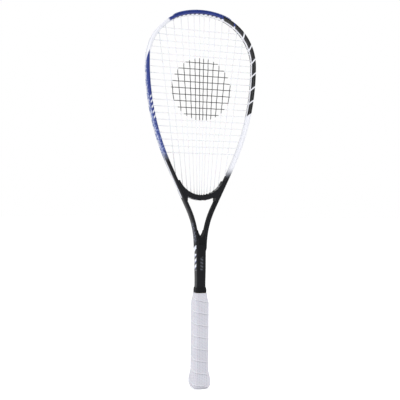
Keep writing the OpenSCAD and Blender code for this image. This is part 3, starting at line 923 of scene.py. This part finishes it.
def left_strip():
    """The pale side strip, mottled blue where the frame beside it is blue."""
    s = Shader("strip_left", 0.42)
    z, blue_foot, blue_top = s.split(s.place)[2], 0.412, 0.568
    blue = s.mix(s.above(s.noise(330.0, 3.0), 0.52, 0.04), srgb(92, 108, 168), srgb(190, 196, 220))
    pale = s.mix(s.noise(40.0, 4.0), srgb(216, 218, 228), srgb(230, 232, 240))
    s.set("Base Color", s.mix(s.band(z, blue_foot, blue_top, 0.008), pale, blue))
    s.set("Roughness", s.add(0.36, s.mul(s.noise(160.0, 3.0), 0.12)))
    s.bump(s.noise(900.0, 2.0), 0.00003)
    return s.material


def string_polymer():
    """Slick white multifilament with a plain round patch of dark ink over the upper middle of the bed."""
    patch_z, patch_r = 0.541, 0.057
    s = Shader("string_polymer", 0.32)
    x, _, z = s.split(s.place)
    up = s.sub(z, patch_z)
    away = s.math("SQRT", s.add(s.mul(x, x), s.mul(up, up)))
    ragged = s.add(away, s.mul(s.sub(s.noise(500.0, 3.0), 0.5), 0.004))
    ink = s.both(s.below(ragged, patch_r, 0.0005), s.above(s.noise(1500.0, 3.0), 0.35, 0.05))
    fibre = s.noise(1.0, 2.0, stretch=(2600.0, 2600.0, 700.0))
    white = s.mix(fibre, srgb(232, 234, 240), srgb(250, 250, 252))
    s.set("Base Color", s.mix(ink, white, srgb(14, 15, 19)))
    s.set("Roughness", s.add(0.28, s.mul(fibre, 0.15)))
    s.set("Subsurface Weight", 0.05)
    s.set("Subsurface Scale", 0.001)
    s.bump(fibre, 0.00003)
    return s.material


def pinholes(s, phase, around):
    """Staggered rows of small round holes: 1 in a hole."""
    hole_pitch, rows_round = 2.7, 35.0
    across = s.mul(phase, WRAP_PITCH / hole_pitch)
    along = s.mul(around, rows_round)
    stagger = s.mul(s.math("FLOOR", along), 0.5)
    x = s.math("ABSOLUTE", s.sub(s.math("FRACT", s.add(across, stagger)), 0.5))
    y = s.math("ABSOLUTE", s.sub(s.math("FRACT", along), 0.5))
    return s.below(s.add(s.mul(x, x), s.mul(y, y)), 0.0425, 0.0175)


def grip_polymer():
    """Tacky perforated tape: pinholes in rows with painted shade in them, a soft sheen, darker handled
    patches, painted shade along the seams and a painted highlight on the raised laps.
    """
    s = Shader("grip_polymer", 0.62)
    along, around, _ = s.uv()
    phase = s.math("FRACT", s.add(s.mul(along, 1 / (WRAP_PITCH * MM)), around))
    pinhole_and_shade = pinholes(s, phase, around)
    seam_shade = s.math("MAXIMUM", s.above(phase, 0.9775, 0.0125), s.below(phase, 0.007, 0.005))
    base = s.mix(s.noise(22.0, 4.0), srgb(203, 203, 212), srgb(220, 220, 228))
    handled = s.above(s.noise(45.0, 5.0), 0.65, 0.10)
    base = s.mix(s.mul(handled, 0.35), base, srgb(194, 193, 202))
    # painted shade: the pinholes are darkened as shade in the holes; the same mask also sinks them in the
    # bump
    base = s.mix(s.mul(pinhole_and_shade, 0.75), base, srgb(150, 150, 166))
    # painted shade: the tape's sunk edge under the next turn's lap is darkened
    base = s.mix(s.mul(seam_shade, 0.55), base, srgb(140, 140, 152))
    # painted highlight: the raised laps are lightened in the base colour
    lap = s.mul(s.band(phase, 0.025, 0.075, 0.02), s.noise(60.0, 3.0))
    s.set("Base Color", s.mix(lap, base, srgb(242, 242, 247)))
    s.set("Roughness", s.add(0.55, s.mul(s.noise(300.0, 3.0), 0.18)))
    s.set("Sheen Weight", 0.15)
    s.set("Subsurface Weight", 0.04)
    s.set("Subsurface Scale", 0.001)
    s.bump(s.sub(s.mul(s.noise(1600.0, 2.0), 0.35), pinhole_and_shade), 0.00018)
    return s.material


def foam(name, colour):
    s = Shader(name, 0.9)
    cells = s.cells(900.0)
    s.set("Base Color", s.mix(cells, tuple(c * 0.7 for c in colour), colour))
    s.set("Roughness", s.add(0.82, s.mul(s.noise(200.0), 0.14)))
    s.bump(cells, 0.0003)
    return s.material


def staple_steel():
    s = Shader("staple_steel", 0.35, Metallic=1.0)
    brushed = s.noise(300.0, 3.0, stretch=(1.0, 8.0, 8.0))
    s.set("Base Color", s.mix(brushed, srgb(150, 152, 160), srgb(196, 198, 205)))
    s.set("Roughness", s.add(0.26, s.mul(brushed, 0.24)))
    s.bump(brushed, 0.00002)
    return s.material


def tape_cloth():
    s = Shader("tape_cloth", 0.75)
    radians_per_metre = 9000.0
    weave = s.math("SINE", s.mul(s.split(s.place)[2], radians_per_metre))
    s.set("Base Color", s.mix(s.noise(120.0, 3.0), srgb(196, 197, 206), srgb(220, 221, 228)))
    s.set("Roughness", s.add(0.68, s.mul(s.noise(300.0), 0.15)))
    s.bump(s.add(s.mul(weave, 0.4), s.noise(900.0)), 0.00005)
    return s.material


def printed(name, axis, pitch, share, ground, ink, trim):
    """A decal of plain slanted bars of ink with a lower edge of trim; axis 0 faces the front, 1 a side."""
    s = Shader(name, 0.36)
    place = s.split(s.place)
    _, bar, bars = slanted_bars(s, place[2], place[axis], pitch, share)
    mask = s.both(bars, s.above(s.noise(900.0, 3.0), 0.32, 0.04))
    edge = s.below(bar, share * 0.28, share * 0.06)
    backing = s.mix(s.noise(60.0), ground, tuple(c * 1.4 for c in ground))
    s.set("Base Color", s.mix(mask, backing, s.mix(edge, ink, trim)))
    s.set("Roughness", s.add(0.28, s.mul(s.noise(200.0), 0.16)))
    s.bump(mask, 0.00003)
    return s.material


# ---- pieces ----
keep(frame_piece(), frame_paint(), "frame_paint", "frame")
keep(shaft_piece(), shaft_paint(), "frame_paint", "frame")
keep(bumper_piece(), bumper_plastic(), "bumper_blue", "head_bumper")
polymer = string_polymer()
keep(mains_piece(), polymer, "string_white", "main_strings")
keep(crosses_piece(), polymer, "string_white", "cross_strings")
keep(wrap_piece(), grip_polymer(), "grip_pu", "grip_wrap")

front_ink = srgb(74, 77, 88)
cad_materials = {
    "bridge": moulded("bridge_gloss", srgb(22, 23, 28), 0.34, Specular_IOR_Level=0.25),
    "bridge_core": foam("bridge_foam", srgb(214, 204, 168)),
    "throat_wedge": moulded("wedge_gloss", srgb(12, 13, 18), 0.36, Specular_IOR_Level=0.2),
    "tube_plugs": foam("plug_foam", srgb(200, 190, 155)),
    "left_grommet_strip": left_strip(),
    "right_grommet_strip": moulded("strip_right", srgb(232, 233, 239), 0.42),
    "throat_grommet_strip": moulded("strip_throat", srgb(26, 27, 32), 0.45, Specular_IOR_Level=0.25),
    "collar": moulded("collar_rubber", srgb(15, 16, 20), 0.6, 1200.0, 0.00006, Specular_IOR_Level=0.2),
    "finishing_tape": tape_cloth(),
    "left_pallet": foam("pallet_left_foam", srgb(204, 188, 148)),
    "right_pallet": foam("pallet_right_foam", srgb(208, 192, 152)),
    "butt_cap": moulded("cap_plastic", srgb(206, 207, 215), 0.45),
    "butt_badge": moulded("badge_plastic", srgb(170, 172, 182), 0.35),
    "butt_staples": staple_steel(),
    "shaft_side_decals": printed("decal_side", 1, DECAL_PITCH, DECAL_SHARE,
                                 srgb(14, 15, 20), srgb(232, 235, 244), srgb(40, 66, 160)),
    "shaft_front_decal": printed("decal_front", 0, 0.0062, 0.5, srgb(12, 13, 18), front_ink, front_ink),
}
for node, material in cad_materials.items():
    coat(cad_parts[node], material)


# ---- studio ----
def soft_light(name, place, aim, width, height, power):
    data = bpy.data.lights.new(name, "AREA")
    data.shape = "RECTANGLE"
    data.size, data.size_y = width, height
    data.energy = power
    obj = bpy.data.objects.new(name, data)
    obj.location = place
    obj.rotation_euler = (Vector(aim) - Vector(place)).to_track_quat("-Z", "Y").to_euler()
    bpy.context.scene.collection.objects.link(obj)


def floor_piece(z, half=40.0):
    """A wide flat sheet of pale studio paper under the racket; it glows a little, for the camera only."""
    mesh = bpy.data.meshes.new("studio_paper")
    corners = [(-half, -half, z), (half, -half, z), (half, half, z), (-half, half, z)]
    mesh.from_pydata(corners, [], [(0, 1, 2, 3)])
    obj = bpy.data.objects.new("studio_paper", mesh)
    bpy.context.scene.collection.objects.link(obj)
    s = Shader("studio_paper", 0.95, Specular_IOR_Level=0.1)
    s.set("Base Color", s.mix(s.noise(3.0), (0.93, 0.93, 0.94), (0.95, 0.95, 0.955)))
    s.set("Emission Color", (1.0, 1.0, 1.0))
    seen = s.tree.nodes.new("ShaderNodeLightPath").outputs["Is Camera Ray"]
    s.set("Emission Strength", s.mul(seen, 0.30))
    coat(obj, s.material)


def studio_world(seen, reflected, lighting):
    """A white surround, with its own strength for the camera, for reflections and for soft light."""
    world = bpy.data.worlds.new("studio")
    bpy.context.scene.world = world
    world.use_nodes = True
    nodes, link = world.node_tree.nodes, world.node_tree.links.new
    rays = nodes.new("ShaderNodeLightPath").outputs
    background = nodes["Background"].inputs
    background["Color"].default_value = (1, 1, 1, 1)
    gloss, view = nodes.new("ShaderNodeMix"), nodes.new("ShaderNodeMix")
    link(rays["Is Glossy Ray"], gloss.inputs["Factor"])
    gloss.inputs["A"].default_value = lighting
    gloss.inputs["B"].default_value = reflected
    link(rays["Is Camera Ray"], view.inputs["Factor"])
    link(gloss.outputs["Result"], view.inputs["A"])
    view.inputs["B"].default_value = seen
    link(view.outputs["Result"], background["Strength"])


def studio_camera():
    """A long lens in front of the racket, to its left and slightly below the middle."""
    yaw, pitch, roll = math.radians(18.145), math.radians(-1.29), math.radians(0.43)
    aim, distance = Vector((0, 0, 0.343)), 1.2708
    away = Vector((-math.sin(yaw) * math.cos(pitch), -math.cos(yaw) * math.cos(pitch), math.sin(pitch)))
    data = bpy.data.cameras.new("camera")
    data.sensor_width = 36
    data.lens = 62.784
    data.shift_x, data.shift_y = -0.001425, -0.005775
    camera = bpy.data.objects.new("camera", data)
    bpy.context.scene.collection.objects.link(camera)
    camera.location = aim + distance * away
    facing = (-away).to_track_quat("-Z", "Y").to_matrix()
    camera.rotation_euler = (facing @ Matrix.Rotation(roll, 3, "Z")).to_euler()
    bpy.context.scene.camera = camera


floor_piece(cad_low.z)
studio_world(seen=1.0, reflected=0.24, lighting=0.85)
soft_light("key", (-1.9, -0.7, 1.2), (0, 0, 0.4), 0.9, 1.6, 15)
soft_light("fill", (1.9, -0.3, 0.9), (0, 0, 0.35), 0.9, 1.4, 9)
soft_light("back", (0.5, 1.7, 1.5), (0, 0, 0.4), 1.5, 1.0, 8)
studio_camera()
bpy.context.scene.view_settings.view_transform = "Standard"
